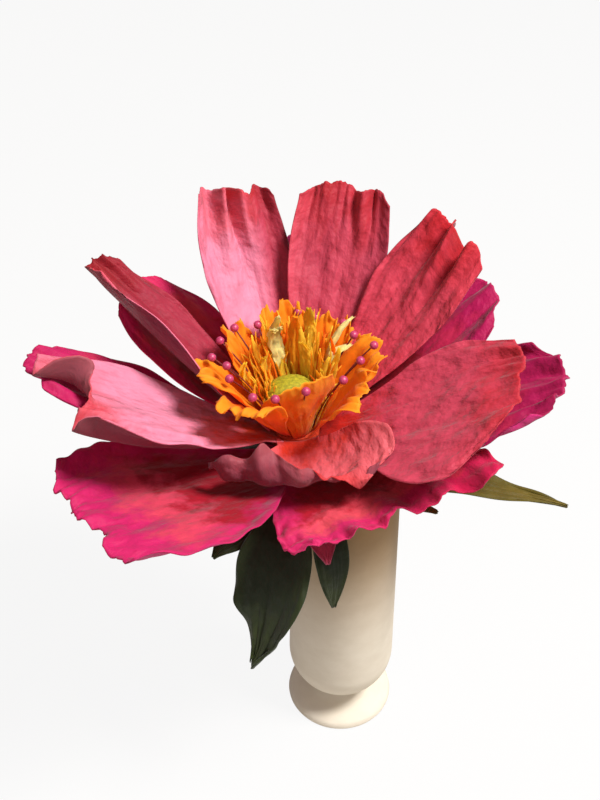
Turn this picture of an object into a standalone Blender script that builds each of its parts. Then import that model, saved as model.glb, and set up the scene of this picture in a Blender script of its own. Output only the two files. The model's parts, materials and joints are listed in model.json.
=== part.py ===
"""A crepe paper peony standing in a small footed vase.

Every paper piece is a flat cutting that was stretched and curled by hand, so each one is a
grid whose rows are laid along a curved spine and then given the paper's thickness. The
petals sit in two whorls round a taped bud on a wire stem, each with its anticlockwise edge
over its neighbour. Sizes are in metres, the vase stands on Z = 0 and its axis is the Z axis.
"""

import math
import random
from dataclasses import dataclass

import bmesh
import bpy
from mathutils import Matrix, Vector

MM = 0.001
GAP = 0.3 * MM

# Paper: two layers of heavy crepe glued together, thinner for the small centre pieces.
PETAL_PAPER = 0.7 * MM
CENTRE_PAPER = 0.5 * MM
LEAF_PAPER = 0.6 * MM

# The vase: a round-bottomed tube on a disc foot.
VASE_HEIGHT = 146 * MM
VASE_WALL = 2.6 * MM
BODY_RADIUS = 25.5 * MM
MOUTH_RADIUS = 23.5 * MM
FOOT_RADIUS = 26 * MM
FOOT_HEIGHT = 5 * MM
WAIST_RADIUS = 11 * MM
WAIST_HEIGHT = 11 * MM
VASE_STEPS = 36
BOWL_STEPS = 7

# The head: where the petals leave the bud. It is this far above the vase's lip and this far
# inside the lip's outer edge, because the stem leans on the lip.
HEAD_RISE = 34 * MM
HEAD_INSET = 2 * MM
HEAD = Vector((HEAD_INSET - MOUTH_RADIUS, 0.0, VASE_HEIGHT + HEAD_RISE))
HEAD_LEAN = math.radians(3)
BUD_RADIUS = 9 * MM
BUD_TOP = 0.8 * MM
BUD_DEPTH = 15 * MM
BUD_NECK = 3.4 * MM
BUD_STEPS = 24

# The stem: a wire wrapped in paper tape, leaning from the vase's bowl to its mouth.
STEM_RADIUS = 2.6 * MM
STEM_FOOT_HEIGHT = WAIST_HEIGHT + VASE_WALL + 3 * GAP

# The centre: a seed head, two fringed strips wound round it, petaloids and beaded wires.
SEED_HEAD_RADIUS = 7.4 * MM
SEED_HEAD_HEIGHT = 23 * MM
SEED_HEAD_NECK = 3.6 * MM
INNER_FRINGE_RADIUS = 5.5 * MM
OUTER_FRINGE_RADIUS = 6.5 * MM
FRINGE_COLLAR = 2.4 * MM
PETALOID_RADIUS = 8.8 * MM
BEAD_RADIUS = 1.75 * MM
WIRE_RADIUS = 0.35 * MM
WIRE_RING = 7.4 * MM
BEAD_HEIGHT = 36 * MM


@dataclass
class Sheet:
    """One cutting of paper, described along its spine.

    rise is the spine's slope above level, in degrees, at even steps from base to tip. ccw and
    cw are the half widths in millimetres on the anticlockwise and clockwise side, and curl_ccw
    and curl_cw how many degrees each side's edge turns up. roll tips the sheet so that its
    anticlockwise edge is the higher one, sweep turns the spine anticlockwise, and drop is how
    far in millimetres the base sits below its frame. tip is how much of the length each part
    of the end edge reaches, from the clockwise side to the anticlockwise one. flutes and
    ruffle are a depth in millimetres, a count and a phase. fold turns a part of the tip up or
    over: between which two places from -1 to 1 across, from which share of the length, and by
    how many degrees.
    """

    name: str
    azimuth: float
    length: float
    rise: tuple
    ccw: tuple
    cw: tuple
    curl_ccw: tuple = (10, 20)
    curl_cw: tuple = (10, 16)
    roll: tuple = (8, 8)
    drop: float = 0
    sweep: tuple = (0, 0)
    tip: tuple = (0.9, 0.98, 1.0, 0.98, 0.9)
    flutes: tuple = (1.6, 3, 0.0)
    ruffle: tuple = (0.8, 2, 0.0)
    fold: tuple = (-1, 1, 1.0, 0)
    columns: int = 10


INNER_PETALS = [
    Sheet(
        "petal_inner_back_left", 109, 99, rise=(34, 46, 54, 58),
        ccw=(3.6, 13, 21, 23, 16), cw=(3, 11, 16, 18, 13), curl_ccw=(14, 26, 20), curl_cw=(14, 24, 16),
        roll=(10, 12, 10), tip=(0.84, 0.95, 0.93, 1.02, 0.99, 1.02, 0.99), flutes=(2.4, 3, 0.3),
    ),
    Sheet(
        "petal_inner_back", 71, 98, rise=(34, 46, 52, 56),
        ccw=(3, 11, 17, 20, 19), cw=(3, 11.5, 18.5, 22, 20), curl_ccw=(14, 20, 20), curl_cw=(14, 20, 16),
        roll=(10, 12, 10), tip=(0.93, 1.0, 0.97, 1.01, 1.0, 0.98, 0.93), flutes=(1.6, 4, 0.0),
    ),
    Sheet(
        "petal_inner_back_right", 32, 99, rise=(30, 42, 48, 50),
        ccw=(3, 11, 17, 20, 16), cw=(3.4, 10, 17, 21, 20), curl_ccw=(14, 20, 20), curl_cw=(14, 16, 12),
        roll=(10, 12, 10), tip=(0.9, 0.97, 0.92, 1.0, 0.98, 1.0, 0.92), flutes=(2.0, 3, 0.0),
    ),
    Sheet(
        "petal_inner_right", -12, 88, rise=(18, 26, 28, 25), drop=0.6,
        ccw=(3.4, 12, 21, 25, 19), cw=(4.6, 22, 40, 43, 30), curl_ccw=(14, 24, 18), curl_cw=(20, 12, 8),
        tip=(0.84, 0.95, 0.99, 1.0, 1.02, 1.0, 0.97), flutes=(1.4, 3, 0.0),
    ),
    Sheet(
        "petal_inner_front", 272, 50, rise=(4, 12, 16, 16), drop=0,
        ccw=(4.8, 24, 40, 43, 38), cw=(4.8, 15, 27, 34, 36), curl_ccw=(30, 46, 58, 50), curl_cw=(30, 22, 28),
        roll=(0, 0), tip=(0.78, 0.9, 0.88, 1.0, 0.9, 0.8, 0.74, 0.8, 0.8, 0.76), flutes=(2.0, 5, 0.2),
        fold=(-1.3, 0.05, 0.42, 150), columns=14,
    ),
    Sheet(
        "petal_inner_left", 200, 92, rise=(18, 28, 34, 34), drop=0.6,
        ccw=(4.2, 17, 28, 31, 22), cw=(3.4, 13, 22, 25, 19), curl_ccw=(14, 22, 16), curl_cw=(14, 26, 30),
        tip=(1.1, 1.1, 1.0, 0.92, 0.96, 0.98, 0.93), flutes=(2.6, 2, 0.0), fold=(-0.55, 0.05, 0.85, 130),
    ),
    Sheet(
        "petal_inner_upper_left", 158, 100, rise=(28, 40, 44, 44),
        ccw=(3.4, 12, 18, 17, 11), cw=(3.4, 11, 15, 16, 10), curl_ccw=(14, 46, 50), curl_cw=(14, 26, 18),
        tip=(0.88, 0.98, 1.0, 0.98, 0.92), flutes=(1.6, 3, 0.0),
    ),
]

OUTER_PETALS = [
    Sheet(
        "petal_outer_back_right", 23, 93, rise=(16, 29, 33, 33), drop=3,
        ccw=(3, 13, 22, 24, 18), cw=(3, 12, 20, 23, 18), curl_ccw=(12, 12, 12), curl_cw=(12, 10, 8),
        roll=(0, 0), tip=(0.86, 0.96, 1.0, 0.97, 0.88),
    ),
    Sheet(
        "petal_outer_right", -8, 104, rise=(10, 20, 24, 24), drop=5.5,
        ccw=(3, 14, 25, 31, 24), cw=(3, 14, 24, 26, 18), curl_ccw=(12, 12, 12), curl_cw=(12, 10, 8),
        roll=(2, 2), tip=(0.84, 0.94, 0.97, 1.0, 0.99, 0.97, 0.88), flutes=(2.0, 4, 0.0),
    ),
    Sheet(
        "petal_outer_front", -54, 71, rise=(0, 8, 16, 12), drop=8.5,
        ccw=(4.4, 18, 34, 44, 42), cw=(4.4, 19, 33, 41, 40), curl_ccw=(14, 10, 10), curl_cw=(14, 10, 8),
        roll=(4, 6), tip=(0.6, 0.68, 0.72, 0.8, 0.8, 0.9, 0.92, 1.04, 1.0), flutes=(1.8, 5, 0.0),
    ),
    Sheet(
        "petal_outer_front_left", 221, 100, rise=(4, 15, 21, 18), drop=8.5,
        ccw=(6, 26, 42, 46, 38), cw=(3.4, 19, 31, 36, 31), curl_ccw=(14, 10, 8), curl_cw=(14, 19, 24),
        tip=(0.88, 0.94, 0.94, 0.97, 0.95, 1.02, 1.0), flutes=(1.8, 4, 0.0),
    ),
    Sheet(
        "petal_outer_left", 182, 107, rise=(14, 28, 32, 32), drop=6,
        ccw=(3.4, 13, 21, 25, 20), cw=(3.4, 13, 20, 22, 16), curl_ccw=(12, 20, 20), curl_cw=(12, 16, 16),
    ),
    Sheet(
        "petal_outer_upper_left", 147, 88, rise=(16, 34, 38, 36), drop=3.5,
        ccw=(3.4, 14, 22, 24, 18), cw=(3.4, 14, 22, 24, 18), curl_ccw=(12, 18, 18), curl_cw=(12, 16, 16),
    ),
    Sheet(
        "petal_outer_back", 88, 86, rise=(20, 34, 38, 40), drop=5.5,
        ccw=(3.4, 14, 22, 24, 17), cw=(3.4, 14, 22, 24, 17), curl_ccw=(12, 14, 14), curl_cw=(12, 12, 12),
    ),
]

PETALOIDS = [
    Sheet(
        "petaloid_%d" % number, azimuth, length, rise=(slope - 2, slope, slope - 4),
        ccw=(3.0, 7, half, half * 0.9), cw=(3.0, 7, half, half * 0.9), curl_ccw=(20, 34, 22),
        curl_cw=(20, 34, 16), roll=(8, 11, 11), tip=tip, flutes=(0.9, 4, 0.4 * number),
        ruffle=(0.5, 2, 0.3 * number),
    )
    for number, azimuth, length, slope, half, tip in (
        (1, 277, 38, 63, 12, (0.9, 0.98, 1.0, 1.01, 0.98, 0.92)),
        (2, 228, 42, 57, 12, (0.9, 1.0, 0.95, 1.02, 0.97, 1.0, 0.9)),
        (3, 184, 44, 53, 11, (0.86, 0.97, 0.92, 1.0, 0.95, 0.98)),
        (4, 142, 43, 53, 11, (0.84, 0.98, 0.92, 1.02, 0.9, 0.88)),
        (5, 100, 44, 53, 11, (0.9, 0.96, 1.03, 0.92, 1.0, 0.86)),
        (6, 58, 43, 53, 11, (0.88, 1.0, 0.93, 1.0, 0.94, 0.86)),
        (7, 14, 43, 52, 11, (0.86, 0.96, 0.91, 1.0, 0.96, 0.9)),
        (8, 323, 40, 57, 12, (0.92, 1.0, 0.93, 0.99, 0.9, 0.96)),
    )
]

# Azimuth in degrees and distance from the axis in millimetres of each bead.
BEADS = [
    (156, 32), (176, 32), (188, 26), (206, 27), (238, 28), (256, 26), (284, 22), (322, 25),
    (352, 27), (10, 33), (28, 28), (46, 30), (70, 28), (86, 31), (122, 27), (138, 32),
]

SEPALS = [
    Sheet(
        "sepal_%d" % number, azimuth, length, rise=(-14, -24, -20), ccw=(2.6, 7, 6, 0.8),
        cw=(2.6, 7, 6, 0.8), curl_ccw=(10, 24), curl_cw=(10, 24), roll=(0, 0), drop=11,
        tip=(1, 1), flutes=(0, 1, 0), ruffle=(0.6, 1, 0.2 * number),
    )
    for number, azimuth, length in ((1, 20, 30), (2, 100, 27), (3, 165, 31))
]
PINK_SEPAL = Sheet(
    "sepal_4", 281, 56, rise=(-10, -14, -20), ccw=(2.6, 7, 8, 7, 0.8), cw=(2.6, 7, 8, 7, 0.8),
    roll=(0, 0), drop=11, tip=(1, 1), flutes=(0, 1, 0), ruffle=(0.6, 1, 0.4),
)

# The number in front is how far in millimetres above the vase the leaf's stalk leaves the stem.
LEAVES = [
    (14, Sheet(
        "leaf_front_left", 257, 95, rise=(4, -14, -48, -70, -74), ccw=(1.2, 2, 12, 16, 15, 9, 0.8),
        cw=(1.2, 2, 9, 15, 14, 8, 0.8), curl_ccw=(10, 20, 14), curl_cw=(10, 14, 10), roll=(0, 0),
        sweep=(0, 0, -10, -40), tip=(1, 1), flutes=(0, 1, 0), ruffle=(1.6, 3, 0.1),
    )),
    (3, Sheet(
        "leaf_side_lobe", 230, 54, rise=(4, 0, -4, -8), ccw=(1.2, 2, 8, 7, 0.8),
        cw=(1.2, 2, 9, 9, 0.8), roll=(0, 0), tip=(1, 1), flutes=(0, 1, 0), ruffle=(1.0, 2, 0.3),
    )),
    (7, Sheet(
        "leaf_front", 288, 66, rise=(2, -14, -50, -80, -84), ccw=(1.2, 2, 7, 8, 5, 0.8),
        cw=(1.2, 2, 6, 7, 5, 0.8), roll=(0, 0), tip=(1, 1), flutes=(0, 1, 0), ruffle=(0.8, 2, 0.6),
    )),
    (15, Sheet(
        "leaf_right", -14, 109, rise=(2, 4, 0, -4, -6), ccw=(1.2, 1.6, 8, 11, 9, 4, 0.6),
        cw=(1.2, 1.6, 8, 10, 8, 4, 0.6), curl_ccw=(10, 24, 20), curl_cw=(10, 24, 20), roll=(0, 0),
        tip=(1, 1), flutes=(0, 1, 0), ruffle=(1.0, 3, 0.5),
    )),
    (12, Sheet(
        "leaf_right_small", -33, 62, rise=(4, 8, 6, 4), ccw=(1.2, 2, 6, 5, 0.8),
        cw=(1.2, 2, 6, 5, 0.8), roll=(0, 0), tip=(1, 1), flutes=(0, 1, 0), ruffle=(0.6, 2, 0.2),
    )),
]

SPINE_STEPS = 48
COLOURS = {
    "petal_inner": (0.71, 0.13, 0.21, 1.0),
    "petal_outer": (0.52, 0.02, 0.12, 1.0),
    "petaloid": (0.93, 0.24, 0.01, 1.0),
    "fringe": (0.93, 0.55, 0.04, 1.0),
    "seed_head": (0.42, 0.44, 0.03, 1.0),
    "bead": (0.46, 0.06, 0.16, 1.0),
    "leaf": (0.03, 0.06, 0.01, 1.0),
    "leaf_right": (0.24, 0.22, 0.02, 1.0),
    "sepal": (0.09, 0.15, 0.02, 1.0),
    "sepal_4": (0.60, 0.08, 0.16, 1.0),
    "bud": (0.12, 0.18, 0.03, 1.0),
    "stem": (0.08, 0.14, 0.02, 1.0),
    "vase": (0.72, 0.69, 0.61, 1.0),
}


def along(values, share):
    """A smooth curve through evenly spaced values, read at a share from 0 to 1."""
    last = len(values) - 1
    place = min(max(share, 0.0), 1.0) * last
    index = min(int(place), last - 1)
    t = place - index
    left, right = values[index], values[index + 1]
    slope_left = (right - values[index - 1]) / 2 if index > 0 else right - left
    slope_right = (values[index + 2] - left) / 2 if index + 2 <= last else right - left
    t2, t3 = t * t, t * t * t
    return (
        (2 * t3 - 3 * t2 + 1) * left
        + (t3 - 2 * t2 + t) * slope_left
        + (3 * t2 - 2 * t3) * right
        + (t3 - t2) * slope_right
    )


def spine_frames(sheet):
    """Points along the sheet's spine with the directions across it and out of its upper face."""
    frames = []
    point = Vector((0.0, 0.0, 0.0))
    step = sheet.length * MM / SPINE_STEPS
    for index in range(SPINE_STEPS * 6 // 5 + 1):
        share = index / SPINE_STEPS
        rise = math.radians(along(sheet.rise, share))
        turn = math.radians(along(sheet.sweep, share))
        roll = math.radians(along(sheet.roll, share))
        forward = Vector(
            (math.cos(rise) * math.cos(turn), math.cos(rise) * math.sin(turn), math.sin(rise))
        )
        level = Vector((-math.sin(turn), math.cos(turn), 0.0))
        up = forward.cross(level)
        across = level * math.cos(roll) + up * math.sin(roll)
        normal = up * math.cos(roll) - level * math.sin(roll)
        frames.append((point.copy(), across, normal))
        point += forward * step
    return frames


def smooth(low, high, value):
    share = min(max((value - low) / (high - low), 0.0), 1.0)
    return share * share * (3 - 2 * share)


def frame_at(frames, reach):
    place = reach * SPINE_STEPS
    index = min(int(place), len(frames) - 2)
    here, there = frames[index], frames[index + 1]
    return [first.lerp(second, place - index) for first, second in zip(here, there)]


def sheet_point(sheet, frames, u, share):
    """The middle surface at u from -1, the clockwise edge, to 1, and a share of the length."""
    reach = share * (1 - (1 - along(sheet.tip, (u + 1) / 2)) * share)
    point, across, normal = frame_at(frames, reach)
    low, high, start, degrees = sheet.fold
    turn = smooth(low - 0.15, low + 0.15, u) * smooth(high + 0.15, high - 0.15, u)
    turn *= math.radians(degrees)
    if reach > start and turn > 0.02:
        bend = (1 - start) * sheet.length * MM / turn
        angle = (reach - start) / (1 - start) * turn
        point, across, normal = frame_at(frames, start)
        forward = across.cross(normal)
        point = point + forward * bend * math.sin(angle) + normal * bend * (1 - math.cos(angle))
        normal = normal * math.cos(angle) - forward * math.sin(angle)
    widths, curls = (sheet.ccw, sheet.curl_ccw) if u >= 0 else (sheet.cw, sheet.curl_cw)
    half = along(widths, share) * MM
    curl = math.radians(along(curls, share))
    radius = half / curl
    side = radius * math.sin(curl * abs(u))
    lift = radius * (1 - math.cos(curl * abs(u)))
    depth, count, phase = sheet.flutes
    lift += depth * MM * share**2.2 * math.cos(math.pi * count * (u + phase))
    depth, count, phase = sheet.ruffle
    lift += depth * MM * share * abs(u) ** 3 * math.sin(2 * math.pi * (count * share + phase))
    return point + across * math.copysign(side, u) + normal * lift


def clear_scene():
    for item in list(bpy.data.objects):
        bpy.data.objects.remove(item, do_unlink=True)


def material_for(name):
    """The material whose name is the longest beginning of the object's name."""
    key = max((key for key in COLOURS if name.startswith(key)), key=len)
    material = bpy.data.materials.get(key)
    if material is None:
        material = bpy.data.materials.new(key)
        material.use_nodes = True
        shader = material.node_tree.nodes["Principled BSDF"]
        shader.inputs["Base Color"].default_value = COLOURS[key]
        shader.inputs["Roughness"].default_value = 0.8
    return material


def add_object(name, data, collection):
    item = bpy.data.objects.new(name, data)
    item.data.materials.append(material_for(name))
    collection.objects.link(item)
    return item


def add_thickness(item, paper):
    wall = item.modifiers.new("Thickness", "SOLIDIFY")
    wall.thickness = paper
    wall.offset = 0


def add_sheet(collection, sheet, paper, columns, rows, place):
    grid = bmesh.new()
    bmesh.ops.create_grid(grid, x_segments=columns, y_segments=rows, size=1.0)
    frames = spine_frames(sheet)
    for vertex in grid.verts:
        vertex.co = place @ sheet_point(sheet, frames, vertex.co.x, (vertex.co.y + 1) / 2)
    mesh = bpy.data.meshes.new(sheet.name)
    grid.to_mesh(mesh)
    grid.free()
    add_thickness(add_object(sheet.name, mesh, collection), paper)


def seat(frame, sheet, radius, height):
    """Where a sheet starts: turned to its azimuth, at a radius and a height in a frame."""
    turn = Matrix.Rotation(math.radians(sheet.azimuth), 4, "Z")
    return frame @ turn @ Matrix.Translation((radius, 0.0, height - sheet.drop * MM))


def head_frame():
    return Matrix.Translation(HEAD) @ Matrix.Rotation(-HEAD_LEAN, 4, "Y")


def add_lathe(collection, name, outline, steps, frame):
    """A solid turned from an outline of radius and height that starts and ends on the axis."""
    mesh = bpy.data.meshes.new(name)
    points = [(radius, 0.0, height) for radius, height in outline]
    edges = [(index, index + 1) for index in range(len(points) - 1)]
    mesh.from_pydata(points, edges, [])
    item = add_object(name, mesh, collection)
    item.matrix_world = frame
    turned = item.modifiers.new("Turned", "SCREW")
    turned.axis = "Z"
    turned.angle = 2 * math.pi
    turned.steps = steps
    turned.render_steps = steps
    turned.use_merge_vertices = True
    turned.merge_threshold = 0.00001
    turned.use_normal_calculate = True


def arc(centre_r, centre_z, radius, start, end, steps):
    points = []
    for index in range(steps + 1):
        angle = math.radians(start + (end - start) * index / steps)
        points.append((centre_r + radius * math.cos(angle), centre_z + radius * math.sin(angle)))
    return points


def vase_outline():
    """The outer side from the foot up to the lip, then the inner side back down to the axis."""
    bowl_height = WAIST_HEIGHT + BODY_RADIUS
    waist_angle = -math.degrees(math.acos(WAIST_RADIUS / BODY_RADIUS))
    foot = [
        (0.0, 0.0),
        (FOOT_RADIUS - 1 * MM, 0.0),
        (FOOT_RADIUS, 1 * MM),
        (FOOT_RADIUS - 1.5 * MM, FOOT_HEIGHT - 1 * MM),
        (FOOT_RADIUS * 0.6, FOOT_HEIGHT + 1 * MM),
        (WAIST_RADIUS, WAIST_HEIGHT - 1 * MM),
    ]
    outer = arc(0.0, bowl_height, BODY_RADIUS, waist_angle, 0, BOWL_STEPS)
    lip = arc(MOUTH_RADIUS - VASE_WALL / 2, VASE_HEIGHT - VASE_WALL / 2, VASE_WALL / 2, 0, 180, 4)
    inner = arc(0.0, bowl_height, BODY_RADIUS - VASE_WALL, 0, -90, BOWL_STEPS)
    inner[-1] = (0.0, inner[-1][1])
    return foot + outer + lip + inner


def add_vase(collection):
    add_lathe(collection, "vase", vase_outline(), VASE_STEPS, Matrix.Identity(4))


def bud_outline():
    return [
        (0.0, -BUD_DEPTH),
        (BUD_NECK, -BUD_DEPTH),
        (BUD_RADIUS * 0.72, -BUD_DEPTH * 0.8),
        (BUD_RADIUS, -BUD_DEPTH * 0.62),
        (BUD_RADIUS, BUD_TOP * 0.6),
        (BUD_RADIUS * 0.98, BUD_TOP),
        (0.0, BUD_TOP),
    ]


def seed_head_outline():
    base = BUD_TOP + GAP
    bulge = base + SEED_HEAD_HEIGHT * 0.58
    crown = SEED_HEAD_HEIGHT * 0.42
    dome = [
        (SEED_HEAD_RADIUS * math.cos(angle), bulge + crown * math.sin(angle))
        for angle in (math.radians(18 * index) for index in range(5))
    ]
    return [
        (0.0, base),
        (SEED_HEAD_NECK, base),
        (SEED_HEAD_NECK, base + SEED_HEAD_HEIGHT * 0.22),
        (SEED_HEAD_RADIUS * 0.8, base + SEED_HEAD_HEIGHT * 0.44),
    ] + dome + [(0.0, bulge + crown)]


def stem_point(height):
    """The stem's axis at a height: a straight line from the bud's neck past the vase's lip."""
    top = head_frame() @ Vector((0.0, 0.0, -BUD_DEPTH - GAP))
    inside = MOUTH_RADIUS - VASE_WALL - STEM_RADIUS * 1.04 - GAP
    touch = Vector((-inside, 0.0, VASE_HEIGHT - VASE_WALL / 2))
    share = (height - touch.z) / (top.z - touch.z)
    return touch.lerp(top, share)


def add_curve(collection, name, points, radius, resolution):
    """A capped tube along points, each a position and a share of the radius."""
    curve = bpy.data.curves.new(name, "CURVE")
    curve.dimensions = "3D"
    curve.bevel_depth = radius
    curve.bevel_resolution = resolution
    curve.use_fill_caps = True
    spline = curve.splines.new("POLY")
    spline.points.add(len(points) - 1)
    for target, (point, share) in zip(spline.points, points):
        target.co = (point.x, point.y, point.z, 1.0)
        target.radius = share
    return add_object(name, curve, collection)


def add_stem(collection):
    top = head_frame() @ Vector((0.0, 0.0, -BUD_DEPTH - GAP))
    heights = [STEM_FOOT_HEIGHT + (top.z - STEM_FOOT_HEIGHT) * index / 6 for index in range(7)]
    points = [(stem_point(height), 1.0) for height in heights]
    add_curve(collection, "stem", points, STEM_RADIUS, 3)


def add_fringe(collection, name, radius, teeth, slope, length, seed, shape, twists, bends):
    """A strip cut into teeth and wound once round the seed head.

    slope and length are functions of the azimuth. shape is the teeth's half width in
    millimetres along their height. twists and bends are the most a tooth turns about itself
    and towards the axis, in degrees, and seed picks each tooth's own differences.
    """
    chance = random.Random(seed)
    rows = len(shape)
    habits = [
        (chance.uniform(-2, 2), chance.uniform(0.82, 1.1), chance.uniform(-twists, twists),
         chance.uniform(0, bends))
        for _ in range(teeth)
    ]
    grid = bmesh.new()
    bmesh.ops.create_grid(grid, x_segments=2 * teeth, y_segments=rows, size=1.0)
    cuts = []
    for face in grid.faces:
        middle = face.calc_center_median()
        column = int((middle.x + 1) * teeth)
        row = int((middle.y + 1) / 2 * rows)
        if row > 0 and column % 2 == 1:
            cuts.append(face)
    bmesh.ops.delete(grid, geom=cuts, context="FACES")
    frame = head_frame()
    base = BUD_TOP + GAP
    for vertex in grid.verts:
        column = round((vertex.co.x + 1) * teeth)
        row = round((vertex.co.y + 1) / 2 * rows)
        if row <= 1:
            angle = math.pi * column / teeth
            height = base + FRINGE_COLLAR * row
            spot = Vector((radius * math.cos(angle), radius * math.sin(angle), height))
        else:
            tooth = min(column // 2, teeth - 1)
            lean, stretch, twist, bend = habits[tooth]
            angle = 2 * math.pi * (tooth + 0.25) / teeth
            azimuth = math.degrees(angle)
            share = (row - 1) / (rows - 1)
            tilt = math.radians(slope(azimuth) + lean + bend * share)
            reach = length(azimuth) * stretch * share
            out = Vector((math.cos(angle), math.sin(angle), 0.0))
            sideways = Vector((-math.sin(angle), math.cos(angle), 0.0))
            turn = math.radians(twist) * share**2
            across = sideways * math.cos(turn) + out * math.sin(turn)
            spot = out * (radius + reach * math.cos(tilt)) + Vector((0, 0, base + FRINGE_COLLAR))
            spot += Vector((0, 0, reach * math.sin(tilt)))
            hand = 1 if column % 2 == 1 else -1
            spot += across * hand * shape[row - 1] * MM
        vertex.co = frame @ spot
    bmesh.ops.remove_doubles(grid, verts=list(grid.verts), dist=0.00005)
    mesh = bpy.data.meshes.new(name)
    grid.to_mesh(mesh)
    grid.free()
    add_thickness(add_object(name, mesh, collection), CENTRE_PAPER)


def front_back(front, back):
    """A value that changes from the front of the flower to its back."""
    def value(azimuth):
        return front + (back - front) * (1 + math.sin(math.radians(azimuth))) / 2
    return value


def add_centre(collection):
    frame = head_frame()
    add_lathe(collection, "seed_head", seed_head_outline(), 20, frame)
    add_fringe(
        collection, "fringe_outer", OUTER_FRINGE_RADIUS, 30, front_back(68, 64),
        front_back(17 * MM, 30 * MM), 11, (0.6, 1.0, 0.9, 0.3), 25, 8,
    )
    add_fringe(
        collection, "fringe_inner", INNER_FRINGE_RADIUS, 12, front_back(71, 69),
        front_back(13 * MM, 38 * MM), 5, (0.9, 1.0, 1.9, 0.6), 60, 8,
    )
    seat_height = BUD_TOP + GAP + CENTRE_PAPER
    for sheet in PETALOIDS:
        add_sheet(collection, sheet, CENTRE_PAPER, 8, 5, seat(frame, sheet, PETALOID_RADIUS, seat_height))
    for number, (azimuth, distance) in enumerate(BEADS, start=1):
        add_bead(collection, frame, "bead_%d" % number, math.radians(azimuth), distance * MM)


def add_bead(collection, frame, name, angle, distance):
    """A bead on a bent wire, turned in one piece round the wire's path."""
    out = Vector((math.cos(angle), math.sin(angle), 0.0))
    foot = out * WIRE_RING + Vector((0, 0, BUD_TOP + GAP))
    knee = out * (WIRE_RING + (distance - WIRE_RING) * 0.46) + Vector((0, 0, BEAD_HEIGHT * 0.58))
    centre = out * distance + Vector((0, 0, BEAD_HEIGHT))
    direction = (centre - knee).normalized()
    thin = WIRE_RADIUS / BEAD_RADIUS
    points = [(foot, thin), (foot.lerp(knee, 0.5) - out * 0.4 * MM, thin), (knee, thin)]
    points.append((centre - direction * BEAD_RADIUS * 0.98, thin))
    for place in (-0.72, -0.25, 0.25, 0.72, 0.97):
        points.append((centre + direction * BEAD_RADIUS * place, math.sqrt(1 - place**2)))
    points = [(frame @ point, share) for point, share in points]
    add_curve(collection, name, points, BEAD_RADIUS, 1)


def build():
    clear_scene()
    collection = bpy.data.collections.new("crepe_paper_peony")
    bpy.context.scene.collection.children.link(collection)
    frame = head_frame()
    side = BUD_RADIUS + GAP + PETAL_PAPER / 2
    add_vase(collection)
    add_stem(collection)
    add_lathe(collection, "bud", bud_outline(), BUD_STEPS, frame)
    for sheet in INNER_PETALS + OUTER_PETALS:
        add_sheet(collection, sheet, PETAL_PAPER, sheet.columns, 8, seat(frame, sheet, side, 0))
    for sheet in SEPALS + [PINK_SEPAL]:
        add_sheet(collection, sheet, LEAF_PAPER, 4, 6, seat(frame, sheet, side * 0.86, 0))
    for height, sheet in LEAVES:
        stalk = Matrix.Translation(stem_point(VASE_HEIGHT + height * MM))
        radius = STEM_RADIUS * 1.02 + GAP
        add_sheet(collection, sheet, LEAF_PAPER, 4, 12, seat(stalk, sheet, radius, 0))
    add_centre(collection)


build()
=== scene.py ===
"""A crepe paper peony in a small footed vase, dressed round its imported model.

Each petal, petaloid, sepal and leaf is one cutting of crepe, laid along a curved spine and
then gathered, crinkled and folded as the paper is by hand. Lengths are in metres unless a
name or a note says millimetres. The vase stands on Z = 0.
"""

import json
import math
import random
from dataclasses import dataclass, replace

import bmesh
import bpy
from mathutils import Matrix, Vector, noise

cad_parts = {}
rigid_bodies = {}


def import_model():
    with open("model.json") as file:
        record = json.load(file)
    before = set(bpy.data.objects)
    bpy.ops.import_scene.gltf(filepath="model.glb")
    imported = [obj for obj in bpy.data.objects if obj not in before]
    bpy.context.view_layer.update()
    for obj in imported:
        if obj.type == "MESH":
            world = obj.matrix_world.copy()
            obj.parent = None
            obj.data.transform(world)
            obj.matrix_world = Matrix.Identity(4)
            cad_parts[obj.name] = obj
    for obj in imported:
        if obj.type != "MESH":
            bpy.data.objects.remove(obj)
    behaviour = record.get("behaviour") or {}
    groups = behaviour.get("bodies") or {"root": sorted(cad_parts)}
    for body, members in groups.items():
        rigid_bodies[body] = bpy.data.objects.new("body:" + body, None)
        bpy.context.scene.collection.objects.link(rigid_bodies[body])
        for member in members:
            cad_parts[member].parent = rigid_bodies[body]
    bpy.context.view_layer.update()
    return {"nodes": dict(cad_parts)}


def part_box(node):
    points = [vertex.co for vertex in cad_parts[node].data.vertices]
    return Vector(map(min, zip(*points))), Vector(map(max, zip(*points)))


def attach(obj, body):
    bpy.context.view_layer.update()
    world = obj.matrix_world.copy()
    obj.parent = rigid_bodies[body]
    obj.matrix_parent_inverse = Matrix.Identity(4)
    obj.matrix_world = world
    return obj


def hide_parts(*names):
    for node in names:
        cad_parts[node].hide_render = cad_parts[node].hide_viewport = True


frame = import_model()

bl_info = {
    "name": "Crepe Paper Peony",
    "version": (1, 0, 0),
    "blender": (4, 5, 0),
    "location": "3D Viewport > Sidebar > Peony",
    "description": "Builds a crepe paper peony in a footed vase, with its studio stage",
    "category": "Add Mesh",
}

MM = 0.001
BODY = "root"
SPINE_STEPS = 48

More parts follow.
